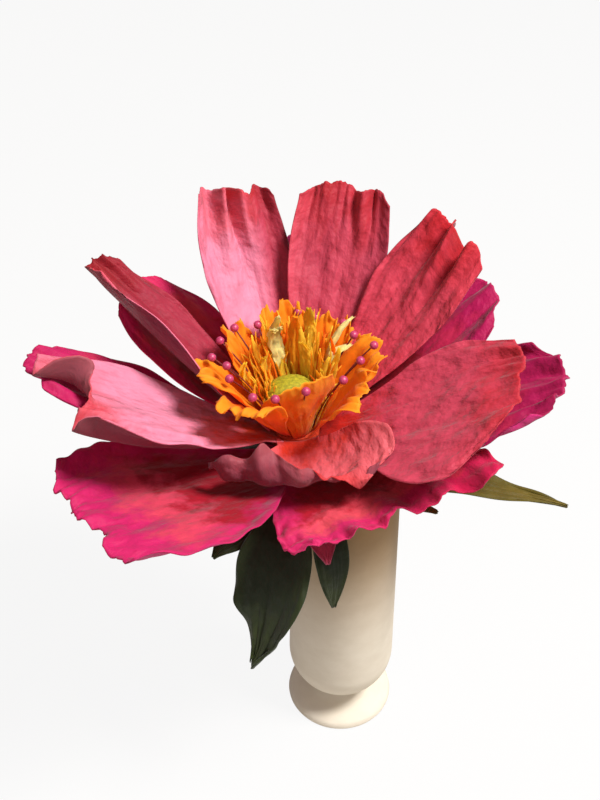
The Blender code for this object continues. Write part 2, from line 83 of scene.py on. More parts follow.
# The flower's own sizes, as the solids have them.
VASE_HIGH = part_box("vase")[1]
VASE_HEIGHT = VASE_HIGH.z
VASE_WALL = 2.6 * MM
BODY_RADIUS = 25.5 * MM
MOUTH_RADIUS = 23.5 * MM
FOOT_RADIUS = VASE_HIGH.x
FOOT_HEIGHT = 5 * MM
WAIST_RADIUS = 11 * MM
WAIST_HEIGHT = 11 * MM
HEAD = Vector((-21.5 * MM, 0.0, VASE_HEIGHT + 34 * MM))
HEAD_LEAN = math.radians(3)
BUD_RADIUS = 9 * MM
BUD_TOP = 0.8 * MM
BUD_DEPTH = 15 * MM
STEM_RADIUS = 2.6 * MM
SEED_HEAD_RADIUS = 7.4 * MM
SEED_HEAD_HEIGHT = 23 * MM
PETALOID_RADIUS = 8.8 * MM
WIRE_RING = 7.4 * MM
BEAD_HEIGHT = 36 * MM
WIRE_STEPS = 14
# The gap between pieces that are glued together, and where those pieces start.
GAP = 0.3 * MM
PETAL_FOOT_RADIUS = BUD_RADIUS + GAP + 0.35 * MM
SEPAL_FOOT_RADIUS = PETAL_FOOT_RADIUS * 0.86
CENTRE_HEIGHT = BUD_TOP + GAP
PETALOID_HEIGHT = CENTRE_HEIGHT + 0.5 * MM
COLLAR_RADIUS = BUD_RADIUS + 5 * MM
COLLAR_HEIGHT = -0.5 * MM
# How far down the bud its orange red paper reaches, and how thick the fringe's paper is.
BUD_PAPER_DEPTH = 7 * MM
STAMEN_PAPER = 0.2 * MM
# The vase darkens upwards between these heights: a painted shadow of the flower above it.
FLOWER_SHADOW_LOW = 0.05
FLOWER_SHADOW_HIGH = 0.15
# The stage: its lamps' places, widths in metres and watts, and the camera, which looks down by
# EYE_PITCH degrees with its lens and sensor in millimetres.
FLOOR_SIZE = 4.0
FLOOR_WHITENESS = 0.9
ROOM_LIGHT = 0.31
LIT_POINT = Vector((-0.02, 0.0, 0.19))
LAMPS = (
    ("key_lamp", (0.55, -0.18, 1.15), 0.3, 21.5), ("fill_lamp", (-0.5, -1.0, 0.9), 0.9, 1.5),
)
EYE = (-20.3 * MM, -342.6 * MM, 481.6 * MM)
EYE_PITCH = 40
LENS = 49.5
SENSOR_WIDTH = 36.0
# How many millimetres of paper one unit of its flat coordinates covers, and how many one row
# of a narrow strip takes.
PAPER_UNIT = 100
STRIP_ROW = 3
# A cutting with a flat middle and a plain end, such as a leaf.
FLAT = {"roll": (0, 0), "tip": (1, 1), "flutes": (0, 1, 0)}


@dataclass
class Sheet:
    """One cutting of paper, described along its spine.

    rise is the spine's slope in degrees from base to tip, ccw and cw the half widths in
    millimetres on each side, curl_ccw and curl_cw how many degrees each side's edge turns up.
    tip is how much of the length the end edge reaches from the clockwise side to the other.
    fold turns a part of the tip up or over: between which two places from -1 to 1 across, from
    which share of the length, and by how many degrees. creases run lengthwise: place across,
    width, depth in millimetres and where along the length they start. frill is the edge's
    waviness in millimetres and how many waves, jag its raggedness, and gather the least half
    width where the sheet is gathered on to the bud. The dyes tint the paper, from the clockwise
    side to the other: partly with the crepe's own dye, and partly with painted shade and painted
    highlights where the lamp leaves a petal dark or catches a ridge.
    """

    name: str
    azimuth: float
    length: float
    rise: tuple
    ccw: tuple
    cw: tuple
    curl_ccw: tuple = (10, 20)
    curl_cw: tuple = (10, 16)
    roll: tuple = (8, 8)
    drop: float = 0
    sweep: tuple = (0, 0)
    tip: tuple = (0.9, 0.98, 1.0, 0.98, 0.9)
    flutes: tuple = (1.6, 3, 0.0)
    ruffle: tuple = (0.8, 2, 0.0)
    fold: tuple = (-1, 1, 1.0, 0)
    creases: tuple = ()
    frill: tuple = (0.9, 5)
    jag: float = 0.012
    wrinkle: float = 0.5
    gather: float = 0
    dyes_and_painted_light: tuple = ("#FFFFFF",)


INNER_PETALS = [
    Sheet(
        "back_left", 109, 99, rise=(34, 46, 54, 58),
        ccw=(3.6, 13, 21, 23, 17), cw=(3, 11, 16, 19, 17), curl_ccw=(14, 26, 20), curl_cw=(14, 24, 16),
        roll=(10, 12, 10), tip=(0.93, 0.99, 0.95, 1.0, 0.99, 1.02, 0.99), flutes=(2.4, 3, 0.3),
        creases=((0.1, 0.07, -4.6, 0.5), (-0.12, 0.09, 3.4, 0.55), (0.34, 0.1, 3.0, 0.5),
                 (0.62, 0.09, -2.0, 0.55), (-0.5, 0.1, 1.8, 0.6)),
        # The clockwise side darkens as a painted shadow of the back petal beside it.
        frill=(1.6, 7), dyes_and_painted_light=("#A85060", "#D88C98", "#FFFFFF", "#FFFFFF", "#FFF0F4"),
    ),
    Sheet(
        "back", 71, 98, rise=(34, 46, 52, 56),
        ccw=(3, 11, 17, 20, 19), cw=(3, 11.5, 18.5, 22, 20), curl_ccw=(14, 20, 20), curl_cw=(14, 20, 16),
        roll=(10, 12, 10), tip=(0.93, 1.0, 0.97, 1.01, 1.0, 0.98, 0.93), flutes=(1.6, 4, 0.0),
        creases=((-0.62, 0.06, -3.4, 0.62), (-0.4, 0.1, 2.4, 0.6), (0.0, 0.07, -2.6, 0.6),
                 (0.28, 0.09, 2.2, 0.6), (0.55, 0.08, -1.6, 0.66)),
        # Darker all over as painted shade: the lamp barely reaches this petal's face.
        frill=(1.2, 7), dyes_and_painted_light=("#C06C7C", "#DC828C", "#D07884", "#E89498"),
    ),
    Sheet(
        "back_right", 32, 99, rise=(30, 42, 48, 50),
        ccw=(3, 11, 17, 20, 16), cw=(3.4, 10, 17, 21, 20), curl_ccw=(14, 20, 20), curl_cw=(14, 16, 12),
        roll=(10, 12, 10), tip=(0.9, 0.97, 0.92, 1.0, 0.98, 1.0, 0.92), flutes=(2.0, 3, 0.0),
        creases=((-0.08, 0.08, 4.0, 0.55), (-0.3, 0.07, -4.4, 0.52), (-0.56, 0.1, 3.0, 0.55),
                 (0.22, 0.08, -2.8, 0.58), (0.48, 0.1, 1.6, 0.6)),
        # Darker and redder: painted shade on a face turned from the lamp, with some of the paper's own
        # redder tone.
        frill=(1.7, 7), dyes_and_painted_light=("#E87C86",),
    ),
    Sheet(
        "right", -12, 88, rise=(18, 26, 28, 25), drop=0.6,
        ccw=(3.4, 12, 21, 25, 19), cw=(4.6, 22, 40, 43, 30), curl_ccw=(14, 24, 18), curl_cw=(20, 12, 8),
        tip=(0.84, 0.95, 0.99, 1.0, 1.02, 1.0, 0.97), flutes=(1.4, 3, 0.0),
        creases=((0.62, 0.1, -1.4, 0.55), (0.36, 0.12, 1.2, 0.6), (-0.2, 0.1, 0.9, 0.7)),
        # Darker and redder: painted shade on a face turned from the lamp, with some of the paper's own
        # redder tone.
        frill=(1.2, 8), dyes_and_painted_light=("#E07E8C",),
    ),
    Sheet(
        "front", 272, 54, rise=(6, 6, 8, 8), drop=0,
        ccw=(5, 26, 38, 42, 41, 36, 28), cw=(4.8, 16, 28, 34, 36), curl_ccw=(30, 62, 64, 56, 44, 34, 26),
        curl_cw=(30, 22, 26), roll=(0, 0), tip=(0.84, 0.97, 0.92, 1.0, 0.88, 0.8, 0.74, 0.68, 0.66, 0.56),
        flutes=(2.0, 5, 0.2), fold=(-1.3, 0.62, 0.46, 150), frill=(2.2, 8), dyes_and_painted_light=("#F4B4A4",),
    ),
    Sheet(
        "left", 200, 92, rise=(18, 28, 34, 34), drop=0.6,
        ccw=(4.2, 17, 28, 31, 22), cw=(3.4, 18, 28, 27, 19), curl_ccw=(14, 22, 16), curl_cw=(14, 26, 30),
        tip=(1.1, 1.1, 1.0, 0.92, 0.96, 0.98, 0.93), flutes=(2.6, 2, 0.0), fold=(-0.55, 0.05, 0.85, 130),
        creases=((0.44, 0.07, 4.6, 0.1), (0.62, 0.08, -4.6, 0.1), (0.12, 0.16, -1.8, 0.5),
                 (-0.3, 0.1, 1.4, 0.5)),
        frill=(1.2, 6),
    ),
    Sheet(
        "upper_left", 158, 100, rise=(28, 40, 44, 44),
        ccw=(3.4, 17, 25, 24, 14), cw=(3.4, 11, 15, 16, 13), curl_ccw=(14, 62, 88, 80),
        curl_cw=(14, 26, 18),
        tip=(0.88, 0.98, 1.0, 0.98, 0.92), flutes=(1.2, 3, 0.0),
        creases=((0.1, 0.12, -2.4, 0.3), (-0.4, 0.12, 2.0, 0.5)), frill=(1.4, 6),
        # Dark across the middle as painted shade, and pale towards the anticlockwise edge as a painted
        # highlight along its ridge.
        dyes_and_painted_light=("#BC5C6C", "#B45868", "#B45868", "#FFC8D0", "#FFE0E4"),
    ),
]

OUTER_PETALS = [
    Sheet(
        "back_right", 23, 93, rise=(16, 29, 33, 33), drop=3,
        ccw=(3, 13, 22, 24, 18), cw=(3, 12, 20, 23, 18), curl_ccw=(12, 12, 12), curl_cw=(12, 10, 8),
        roll=(0, 0), tip=(0.86, 0.96, 1.0, 0.97, 0.88), dyes_and_painted_light=("#D860B0",),
    ),
    Sheet(
        "right", -8, 104, rise=(10, 20, 24, 24), drop=5.5,
        ccw=(3, 14, 25, 31, 24), cw=(3, 14, 24, 26, 18), curl_ccw=(12, 12, 12), curl_cw=(12, 10, 8),
        roll=(2, 2), tip=(0.84, 0.94, 0.97, 1.0, 0.99, 0.97, 0.88), flutes=(2.0, 4, 0.0),
        creases=((-0.2, 0.07, 1.4, 0.6), (-0.38, 0.07, -1.4, 0.6), (-0.55, 0.07, 1.4, 0.6),
                 (0.1, 0.08, -1.2, 0.6), (0.4, 0.1, 1.2, 0.7)),
        frill=(1.4, 9), dyes_and_painted_light=("#D058A8",),
    ),
    Sheet(
        "front", -54, 71, rise=(0, 8, 16, 12), drop=8.5,
        ccw=(4.4, 18, 34, 44, 42), cw=(9, 30, 38, 41, 40), curl_ccw=(14, 10, 10), curl_cw=(14, 10, 8),
        roll=(4, 6), tip=(0.6, 0.68, 0.72, 0.8, 0.8, 0.9, 0.92, 1.04, 1.0), flutes=(1.8, 5, 0.0),
        # Lighter on the clockwise side as painted light, where the lamp reaches this petal past the ones
        # above it.
        frill=(2.2, 11), jag=0.02, dyes_and_painted_light=("#FFD8D8", "#FFD0D0", "#F49CA8", "#F08CA0"),
    ),
    Sheet(
        "front_left", 221, 100, rise=(4, 15, 21, 18), drop=8.5,
        ccw=(8, 30, 44, 46, 38), cw=(3.4, 21, 34, 38, 32), curl_ccw=(14, 10, 8), curl_cw=(14, 22, 28),
        tip=(0.88, 0.94, 0.94, 0.97, 0.95, 1.02, 1.0), flutes=(1.8, 4, 0.0),
        creases=((0.2, 0.08, 1.8, 0.5), (0.36, 0.08, -1.4, 0.55), (-0.2, 0.1, 1.2, 0.6),
                 (0.7, 0.08, 1.2, 0.6)),
        frill=(2.4, 10), jag=0.02, dyes_and_painted_light=("#F4B4D0",),
    ),
    Sheet(
        "left", 182, 107, rise=(14, 28, 32, 32), drop=6,
        ccw=(3.4, 13, 21, 25, 20), cw=(3.4, 13, 20, 22, 16), curl_ccw=(12, 20, 20), curl_cw=(12, 16, 16),
        frill=(1.6, 7), dyes_and_painted_light=("#E888C0",),
    ),
    Sheet(
        "upper_left", 147, 88, rise=(16, 34, 38, 36), drop=3.5,
        ccw=(3.4, 14, 22, 24, 18), cw=(3.4, 14, 22, 24, 18), curl_ccw=(12, 18, 18), curl_cw=(12, 16, 16),
        dyes_and_painted_light=("#FFB0C0",),
    ),
    Sheet(
        "back", 88, 86, rise=(20, 34, 38, 40), drop=5.5,
        ccw=(3.4, 14, 22, 24, 17), cw=(3.4, 14, 22, 24, 17), curl_ccw=(12, 14, 14), curl_cw=(12, 12, 12),
    ),
]

# Of each petaloid: number, azimuth, length, slope, half width, how far its rim is turned out,
# how ragged it is, and its tip.
PETALOIDS = [
    Sheet(
        "petaloid_%d" % number, azimuth, length, rise=(slope - 3, slope, slope + 4),
        ccw=(3.0, 7, half, half * 0.9), cw=(3.0, 7, half, half * 0.9), curl_ccw=(20, 34, 22),
        curl_cw=(20, 34, 16), roll=(8, 11, 11), tip=tip, flutes=(min(0.9, 30 * jag), 4, 0.4 * number),
        ruffle=(0.5, 2, 0.3 * number), fold=(-1.3, 1.3, 0.78, turned),
        frill=(min(1.5, 60 * jag), 8), jag=jag, wrinkle=0.6,
    )
    for number, azimuth, length, slope, half, turned, jag, tip in (
        (1, 281, 38, 72, 16, 0, 0.008, (0.86, 0.97, 1.0, 1.01, 0.98, 0.92)),
        (2, 234, 43, 55, 14, -70, 0.04, (0.9, 1.0, 0.95, 1.02, 0.97, 1.0, 0.96)),
        (3, 186, 45, 53, 12, -50, 0.05, (0.86, 0.97, 0.92, 1.0, 0.95, 0.98)),
        (4, 142, 43, 55, 11, 0, 0.08, (0.84, 0.98, 0.92, 1.02, 0.9, 0.88)),
        (5, 100, 45, 57, 11, 0, 0.08, (0.9, 0.96, 1.03, 0.92, 1.0, 0.86)),
        (6, 58, 43, 55, 11, 0, 0.08, (0.88, 1.0, 0.93, 1.0, 0.94, 0.86)),
        (7, 14, 43, 52, 11, -40, 0.05, (0.86, 0.96, 0.91, 1.0, 0.96, 0.9)),
        (8, 325, 41, 55, 13, -60, 0.04, (0.98, 1.0, 0.93, 0.99, 0.9, 0.96)),
    )
]

# Azimuth in degrees and distance from the flower's axis in millimetres of each bead.
BEADS = [
    (156, 32), (176, 32), (188, 26), (206, 27), (238, 28), (256, 26), (284, 22), (322, 25),
    (352, 27), (10, 33), (28, 28), (46, 30), (70, 28), (86, 31), (122, 27), (138, 32),
]

# The broad torn strips that stand out of the fringe: azimuth, length, slope at the foot and
# curl at the end in degrees, half width in millimetres, lean sideways, and which colour.
FEATHERS = [
    (88, 37, 80, 25, 2.7, 0.06, "pale"), (111, 47, 76, 75, 3.2, 0.10, "pale"),
    (61, 46, 75, 20, 2.5, -0.06, "pale"), (45, 38, 70, -60, 2.0, -0.45, "pale"),
    (125, 53, 72, 15, 1.9, 0.06, "lemon"), (118, 47, 72, 50, 1.8, -0.10, "pale"),
    (100, 53, 75, 10, 3.0, 0.12, "mustard"), (48, 47, 68, -50, 1.2, -0.25, "pale"),
    (130, 38, 66, 70, 2.0, 0.10, "pale"), (72, 50, 73, 40, 2.2, -0.10, "lemon"),
    (34, 44, 64, -20, 2.4, -0.15, "orange"), (92, 49, 78, 50, 2.0, -0.10, "gold"),
    (150, 40, 66, 30, 2.2, 0.15, "gold"), (172, 34, 62, 50, 1.8, 0.00, "lemon"),
    (12, 34, 64, 30, 1.8, 0.10, "gold"), (142, 33, 76, 40, 1.8, 0.20, "lemon"),
    (104, 38, 82, 30, 1.8, -0.15, "lemon"), (56, 36, 82, 30, 1.8, 0.15, "lemon"),
]

SEPALS = [
    Sheet(
        "sepal_%d" % number, azimuth, length, rise=(-14, -24, -20), ccw=(2.6, 7, 6, 0.8),
        cw=(2.6, 7, 6, 0.8), curl_ccw=(10, 24), curl_cw=(10, 24), drop=11,
        ruffle=(0.6, 1, 0.2 * number), frill=(0.4, 4), **FLAT,
    )
    for number, azimuth, length in ((1, 20, 30), (2, 100, 27), (3, 165, 31))
]
PINK_SEPAL = Sheet(
    "sepal_4", 281, 50, rise=(-10, -14, -20), ccw=(2.6, 7, 8, 7, 0.8), cw=(2.6, 7, 8, 7, 0.8),
    drop=11, ruffle=(0.6, 1, 0.4), frill=(0.4, 4), **FLAT,
)

# The number in front is how far in millimetres above the vase the leaf's stalk leaves the stem.
DARK_LEAVES = [
    (14, Sheet(
        "leaf_front_left", 257, 95, rise=(4, -14, -48, -70, -74), ccw=(1.2, 2, 12, 16, 15, 9, 0.8),
        cw=(1.2, 2, 9, 15, 14, 8, 0.8), curl_ccw=(10, 20, 14), curl_cw=(10, 14, 10),
        sweep=(0, 0, -10, -40), ruffle=(3.0, 3, 0.1), frill=(1.6, 9), jag=0.05,
        creases=((0.0, 0.06, -1.6, 0.1), (0.5, 0.1, -1.2, 0.1), (-0.5, 0.1, 1.2, 0.1)), **FLAT,
    )),
    (3, Sheet(
        "leaf_side_lobe", 230, 54, rise=(4, 0, -4, -8), ccw=(1.2, 2, 8, 7, 0.8),
        cw=(1.2, 2, 9, 9, 0.8), ruffle=(1.0, 2, 0.3), frill=(0.6, 5), **FLAT,
    )),
    (7, Sheet(
        "leaf_front", 288, 66, rise=(2, -14, -50, -80, -84), ccw=(1.2, 2, 7, 8, 5, 0.8),
        cw=(1.2, 2, 6, 7, 5, 0.8), ruffle=(0.8, 2, 0.6), frill=(0.6, 6), **FLAT,
    )),
]
LIGHT_LEAVES = [
    (15, Sheet(
        "leaf_right", -14, 109, rise=(2, 4, 0, -4, -6), ccw=(1.2, 1.6, 8, 11, 9, 4, 0.6),
        cw=(1.2, 1.6, 8, 10, 8, 4, 0.6), curl_ccw=(10, 24, 20), curl_cw=(10, 24, 20),
        ruffle=(1.0, 3, 0.5), frill=(0.6, 8), **FLAT,
    )),
    (12, Sheet(
        "leaf_right_small", -33, 62, rise=(4, 8, 6, 4), ccw=(1.2, 2, 6, 5, 0.8),
        cw=(1.2, 2, 6, 5, 0.8), ruffle=(0.6, 2, 0.2), frill=(0.5, 5), **FLAT,
    )),
]


def linear(code):
    """An sRGB hex colour as the linear numbers that shaders and colour settings hold."""
    parts = [int(code[place:place + 2], 16) / 255 for place in (1, 3, 5)]
    return [part / 12.92 if part <= 0.04045 else ((part + 0.055) / 1.055) ** 2.4 for part in parts]


def tinted(colour):
    return (*colour, 1.0)


def tone(key):
    """A colour setting by its name, or a hex colour, as a shader holds it."""
    return tinted(linear(key) if key[0] == "#" else getattr(bpy.context.scene.peony_colours, key))


def length_setting(name, description, usual, least, most):
    """A length that a maker may change, given in millimetres."""
    return bpy.props.FloatProperty(
        name=name, description=description, default=usual * MM, min=least * MM, max=most * MM,
        unit="LENGTH", precision=5,
    )


def tint(name, description, code):
    """A colour that a maker may change, given as sRGB hex."""
    return bpy.props.FloatVectorProperty(
        name=name, description=description, default=linear(code), min=0.0, max=1.0, size=3,
        subtype="COLOR",
    )


class PeonySizes(bpy.types.PropertyGroup):
    petal_paper: length_setting(
        "Petal paper", "Thickness of a petal's two glued layers of crepe", 0.55, 0.2, 1.5,
    )
    centre_paper: length_setting(
        "Centre paper", "Thickness of the single crepe in the centre", 0.35, 0.1, 1.0,
    )
    leaf_paper: length_setting("Leaf paper", "Thickness of a leaf's paper", 0.5, 0.2, 1.5)
    bead_radius: length_setting("Bead radius", "Radius of the round beads", 1.75, 0.5, 4)
    wire_radius: length_setting("Wire radius", "Radius of the wires that carry the beads", 0.32, 0.1, 1)
    grain: length_setting("Crepe grain", "Spacing of the crepe's fine crinkles", 1.0, 0.3, 4)


class PeonyColours(bpy.types.PropertyGroup):
    inner_pink: tint("Inner pink", "Middle of the inner petals", "#F592AE")
    inner_tip: tint("Inner tip", "Coral end of the inner petals", "#E4525E")
    inner_base: tint("Inner base", "Orange red where the inner petals start", "#DE4424")
    inner_streak: tint("Inner streak", "Dark streaks of dye near the inner tips", "#B81E38")
    # The back's deeper rose, darkened with painted shade.
    inner_under: tint("Inner underside", "Duller back of the inner petals", "#823448")
    outer_magenta: tint("Outer magenta", "Edges of the outer petals", "#DC2C80")
    outer_coral: tint("Outer coral", "Middle of the outer petals", "#EC6276")
    outer_base: tint("Outer base", "Crimson where the outer petals start", "#B4102E")
    outer_under: tint("Outer underside", "Back of the outer petals", "#B03060")
    petaloid: tint("Petaloid orange", "The cup of small orange petals", "#FF9A12")
    # A painted glow of the light behind the thin crepe at its rim.
    petaloid_rim: tint("Petaloid rim", "Their brighter edge", "#FFB020")
    petaloid_base: tint("Petaloid base", "Their red orange foot", "#F86C0C")
    stamen_gold: tint("Stamen gold", "Most of the cut fringe", "#FFC62A")
    stamen_mustard: tint("Stamen mustard", "Its darker strips", "#F2B624")
    stamen_orange: tint("Stamen orange", "Its orange strips", "#FF980E")
    stamen_lemon: tint("Stamen lemon", "Its yellow strips", "#FFE348")
    stamen_pale: tint("Stamen cream", "Its palest strips", "#FFF6B0")
    seed_green: tint("Seed head", "The green head in the middle", "#B0A41A")
    bead: tint("Bead", "Rose beads", "#C24468")
    wire: tint("Wire", "Dark red wires", "#7A1F1A")
    # Darkened with painted shade, as these leaves hang under the flower.
    leaf_dark: tint("Dark leaf", "The leaves under the flower", "#1E270B")
    leaf_light: tint("Light leaf", "The leaf at the right", "#4C4208")
    vase: tint("Vase", "Unglazed white clay", "#E2D8C6")


def along(values, share):
    """A smooth curve through evenly spaced values, read at a share from 0 to 1."""
    last = len(values) - 1
    place = min(max(share, 0.0), 1.0) * last
    index = min(int(place), last - 1)
    t = place - index
    left, right = values[index], values[index + 1]
    slope_left = (right - values[index - 1]) / 2 if index > 0 else right - left
    slope_right = (values[index + 2] - left) / 2 if index + 2 <= last else right - left
    t2, t3 = t * t, t * t * t
    return (
        (2 * t3 - 3 * t2 + 1) * left + (t3 - 2 * t2 + t) * slope_left
        + (3 * t2 - 2 * t3) * right + (t3 - t2) * slope_right
    )


def smooth(low, high, value):
    share = min(max((value - low) / (high - low), 0.0), 1.0)
    return share * share * (3 - 2 * share)


def ripple(*place):
    """A smooth unevenness between about -1 and 1 that is always the same at the same place."""
    return noise.noise(Vector(place))


def spine_frames(sheet):
    """Points along the sheet's spine with the directions across it and out of its upper face."""
    frames = []
    point = Vector((0.0, 0.0, 0.0))
    step = sheet.length * MM / SPINE_STEPS
    for index in range(SPINE_STEPS * 6 // 5 + 1):
        share = index / SPINE_STEPS
        rise, turn, roll = (
            math.radians(along(angles, share)) for angles in (sheet.rise, sheet.sweep, sheet.roll)
        )
        forward = Vector(
            (math.cos(rise) * math.cos(turn), math.cos(rise) * math.sin(turn), math.sin(rise))
        )
        level = Vector((-math.sin(turn), math.cos(turn), 0.0))
        up = forward.cross(level)
        across = level * math.cos(roll) + up * math.sin(roll)
        normal = up * math.cos(roll) - level * math.sin(roll)
        frames.append((point.copy(), across, normal))
        point += forward * step
    return frames


def frame_at(frames, reach):
    place = min(max(reach * SPINE_STEPS, 0.0), len(frames) - 1.001)
    index = int(place)
    here, there = frames[index], frames[index + 1]
    return tuple(here[part].lerp(there[part], place - index) for part in range(3))


def sheet_point(sheet, frames, u, share, seed):
    """The middle surface at u from -1, the clockwise edge, to 1, and a share of the length."""
    ragged = ripple(u * 6, seed, 0) + 0.6 * ripple(u * 19, seed, 5)
    ragged *= sheet.jag
    reach = share * (1 - (1 - along(sheet.tip, (u + 1) / 2) - ragged) * share)
    point, across, normal = frame_at(frames, reach)
    low, high, start, degrees = sheet.fold
    turn = smooth(low - 0.15, low + 0.15, u) * smooth(high + 0.15, high - 0.15, u)
    turn *= math.radians(degrees)
    if reach > start and abs(turn) > 0.02:
        bend = (1 - start) * sheet.length * MM / turn
        angle = (reach - start) / (1 - start) * turn
        point, across, normal = frame_at(frames, start)
        forward = across.cross(normal)
        point = point + forward * bend * math.sin(angle) + normal * bend * (1 - math.cos(angle))
        normal = normal * math.cos(angle) - forward * math.sin(angle)
    widths, curls = (sheet.ccw, sheet.curl_ccw) if u >= 0 else (sheet.cw, sheet.curl_cw)
    half = max(along(widths, share), sheet.gather * (1 - smooth(0.04, 0.3, share))) * MM
    half *= 1 + 0.8 * sheet.jag * ripple(share * 12, seed, 9 if u > 0 else 17) * u * u
    curl = math.radians(along(curls, share))
    radius = half / curl
    side = radius * math.sin(curl * abs(u))
    lift = radius * (1 - math.cos(curl * abs(u)))
    depth, count, phase = sheet.flutes
    lift += depth * MM * share**2.2 * math.cos(math.pi * count * (u + phase))
    depth, count, phase = sheet.ruffle
    lift += depth * MM * share * abs(u) ** 3 * math.sin(2 * math.pi * (count * share + phase))
    for middle, width, depth, start in sheet.creases:
        drift = middle + 0.05 * ripple(share * 5, middle * 9, seed)
        lift += depth * MM * smooth(start, 1.0, share) * math.exp(-(((u - drift) / width) ** 2))
    depth, count = sheet.frill
    rim = max(smooth(0.78, 1.0, share), smooth(0.72, 1.0, abs(u)) * smooth(0.25, 0.6, share))
    lift += depth * MM * 1.6 * rim * ripple(u * count, share * count * 0.8, seed)
    crinkle = ripple(u * 6, share * 3.2, seed + 2)
    crinkle += 0.5 * ripple(u * 17, share * 5, seed)
    lift += sheet.wrinkle * MM * crinkle * smooth(0.0, 0.5, share)
    return point + across * math.copysign(side, u) + normal * lift


def head_frame():
    return Matrix.Translation(HEAD) @ Matrix.Rotation(-HEAD_LEAN, 4, "Y")


def seat(place, sheet, radius, height):
    """Where a sheet starts: turned to its azimuth, at a radius and a height in a frame."""
    turn = Matrix.Rotation(math.radians(sheet.azimuth), 4, "Z")
    return place @ turn @ Matrix.Translation((radius, 0.0, height - sheet.drop * MM))


def stem_point(height):
    top = head_frame() @ Vector((0.0, 0.0, -BUD_DEPTH - GAP))
    inside = MOUTH_RADIUS - VASE_WALL - STEM_RADIUS * 1.04 - GAP
    touch = Vector((-inside, 0.0, VASE_HEIGHT - VASE_WALL / 2))
    return touch.lerp(top, (height - touch.z) / (top.z - touch.z))


def placed(name, data):
    item = bpy.data.objects.new(name, data)
    bpy.context.scene.collection.objects.link(item)
    return item


def formed(name, work, materials):
    """The object that a worked mesh makes, smooth all over, with its materials."""
    for face in work.faces:
        face.smooth = True
    mesh = bpy.data.meshes.new(name)
    work.to_mesh(mesh)
    work.free()
    for material in materials:
        mesh.materials.append(material)
    return placed(name, mesh)


def finish(name, work, materials, nodes):
    """Makes the piece's object and stands it in for its solids, where it has any."""
    piece = formed(name, work, materials)
    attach(piece, BODY)
    if nodes:
        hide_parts(*nodes)
    return piece


def thicken(piece, paper, under=0):
    """Gives the paper its thickness. under is how many materials later the underside's comes."""
    wall = piece.modifiers.new("Thickness", "SOLIDIFY")
    wall.thickness = paper
    wall.offset = 0
    wall.material_offset = under


def blank_paper():
    """An empty mesh whose spots can hold their shares, their dye and where they lie flat.

    On some petals the dye also carries painted shade and painted highlights.
    """
    grid = bmesh.new()
    grid.loops.layers.uv.new("Paper")
    for key in ("share", "edge"):
        grid.verts.layers.float.new(key)
    grid.verts.layers.float_color.new("dye")
    return grid


def lay(grid, columns, rows, spot_at):
    """Lays a cutting. For a place across and along it, spot_at gives the point, flat place and dye."""
    flat = grid.loops.layers.uv["Paper"]
    share_of, edge_of = (grid.verts.layers.float[key] for key in ("share", "edge"))
    dye_of = grid.verts.layers.float_color["dye"]
    laid = {}
    made = bmesh.ops.create_grid(grid, x_segments=columns, y_segments=rows, size=1.0)["verts"]
    for vertex in made:
        u, share = vertex.co.x, (vertex.co.y + 1) / 2
        vertex.co, laid[vertex], vertex[dye_of] = spot_at(u, share)
        vertex[share_of] = share
        vertex[edge_of] = abs(u)
    for face in {face for vertex in made for face in vertex.link_faces}:
        for loop in face.loops:
            loop[flat].uv = laid[loop.vert]


def add_sheet(sheet, place, paper, columns, rows, materials):
    dyes_and_painted_light = [linear(code) for code in sheet.dyes_and_painted_light * (2 if len(sheet.dyes_and_painted_light) == 1 else 1)]
    frames = spine_frames(sheet)
    seed = sheet.azimuth * 0.37 + sheet.length

    def spot_at(u, share):
        half = along(sheet.ccw if u >= 0 else sheet.cw, share)
        flat = (u * half / PAPER_UNIT + seed, share * sheet.length / PAPER_UNIT)
        # The dyes, blended across the sheet, carry the painted shade and highlights of some petals.
        dye = tinted([along([dye[part] for dye in dyes_and_painted_light], (u + 1) / 2) for part in range(3)])
        return place @ sheet_point(sheet, frames, u, share, seed), flat, dye

    grid = blank_paper()
    lay(grid, columns, rows, spot_at)
    bmesh.ops.reverse_faces(grid, faces=list(grid.faces))
    piece = finish("paper_" + sheet.name, grid, materials, [sheet.name])
    thicken(piece, paper, len(materials) - 1)


def add(tree, kind, inputs=None, stops=(), **settings):
    """Adds a node with its settings, its inputs and, on a ramp, its stops.

    An input given a socket is linked to it, and one given a node to that node's first output.
    """
    node = tree.nodes.new("ShaderNode" + kind)
    for key, value in settings.items():
        setattr(node, key, value)
    for key, value in (inputs or {}).items():
        if isinstance(value, bpy.types.Node):
            value = value.outputs[0]
        if isinstance(value, bpy.types.NodeSocket):
            tree.links.new(value, node.inputs[key])
        else:
            node.inputs[key].default_value = value
    for index, (place, colour) in enumerate(stops):
        elements = node.color_ramp.elements
        stop = elements[index] if index < 2 else elements.new(place)
        stop.position = place
        stop.color = tone(colour)
    return node


def new_material(name):
    material = bpy.data.materials.new(name)
    material.use_nodes = True
    tree = material.node_tree
    tree.nodes.clear()
    return material, tree


